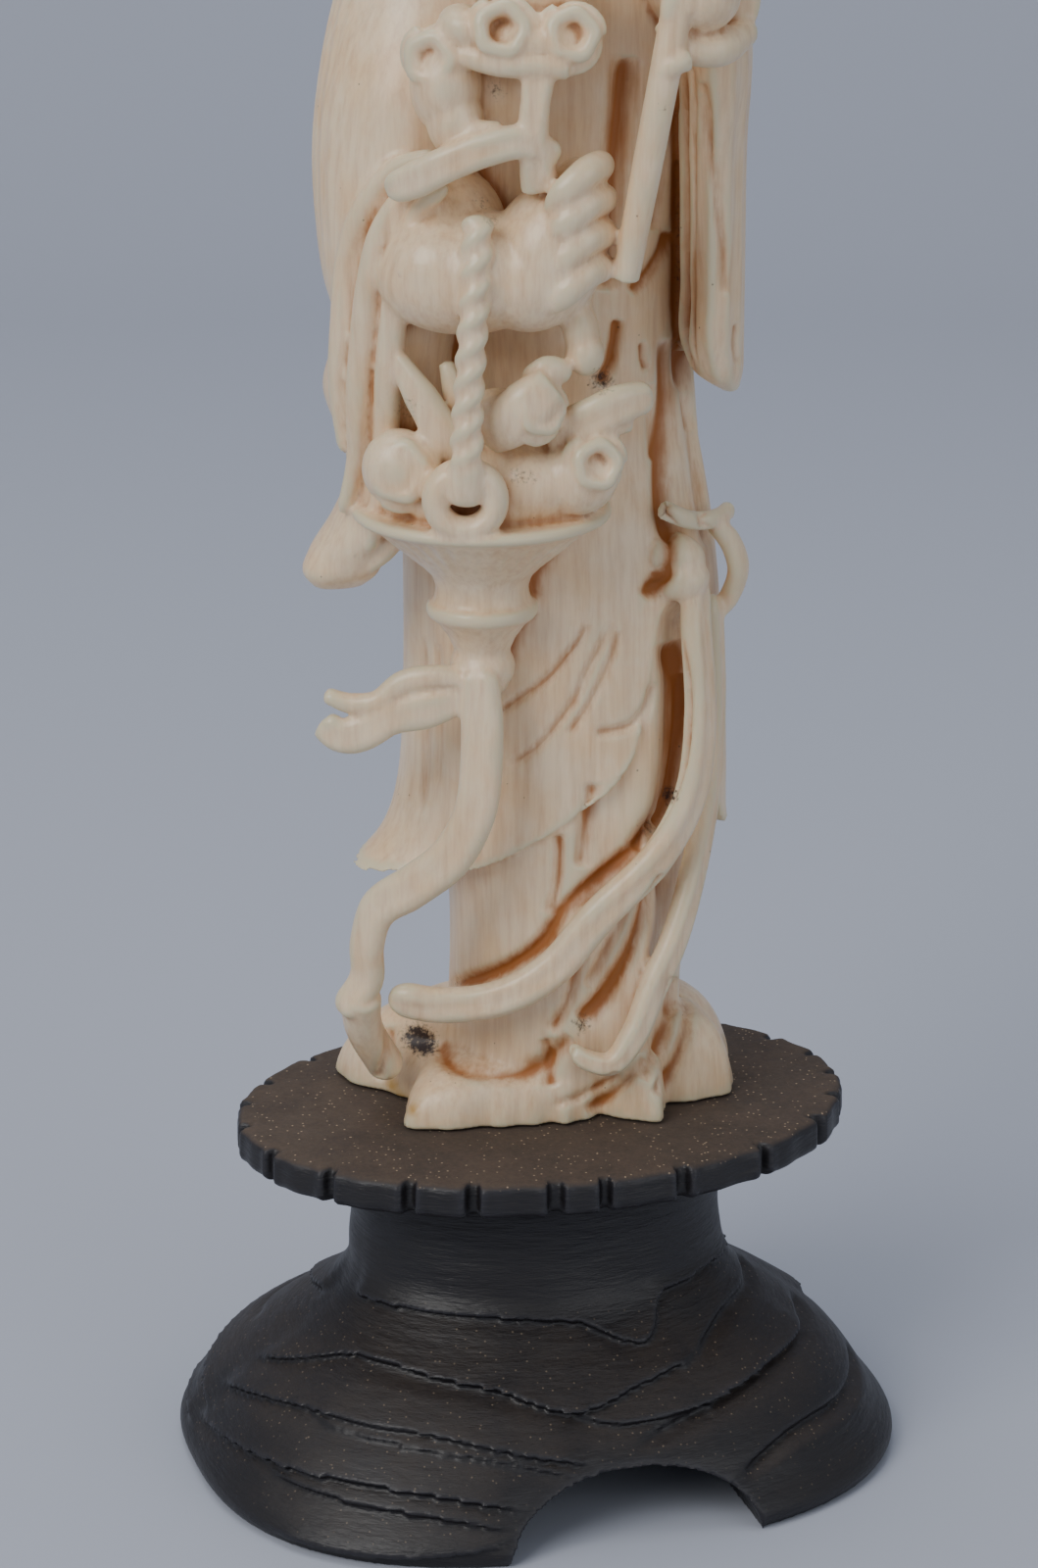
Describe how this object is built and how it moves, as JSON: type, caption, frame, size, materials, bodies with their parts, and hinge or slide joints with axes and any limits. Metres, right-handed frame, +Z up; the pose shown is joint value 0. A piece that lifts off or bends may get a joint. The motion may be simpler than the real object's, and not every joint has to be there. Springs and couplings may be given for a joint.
{
  "type": "carved ivory figure on a wooden stand",
  "caption": "Carved ivory figure of a robed lady with a flower basket, a flower spray and a rod, on a carved dark wooden stand with a notched oval top.",
  "frame": {"origin": "centre of the bounding box at the bottom, on the surface that the stand's feet rest on", "axes": "+Z up through the lady; she faces -Y; +X is on the right of someone who looks at her; the stand's long axis is turned 17 degrees from +X towards +Y"},
  "size_m": [0.1018, 0.09, 0.268],
  "materials": {
    "ivory": "polished old ivory, cream, stained orange-brown in the carving, with dark dirt in its deepest cuts",
    "ebonised_wood": "near-black stained hardwood with a dull polish, tool marks and brown dust on its top"
  },
  "bodies": {
    "root": {"ivory_figure": "ivory", "wood_stand": "ebonised_wood"}
  },
  "joints": []
}
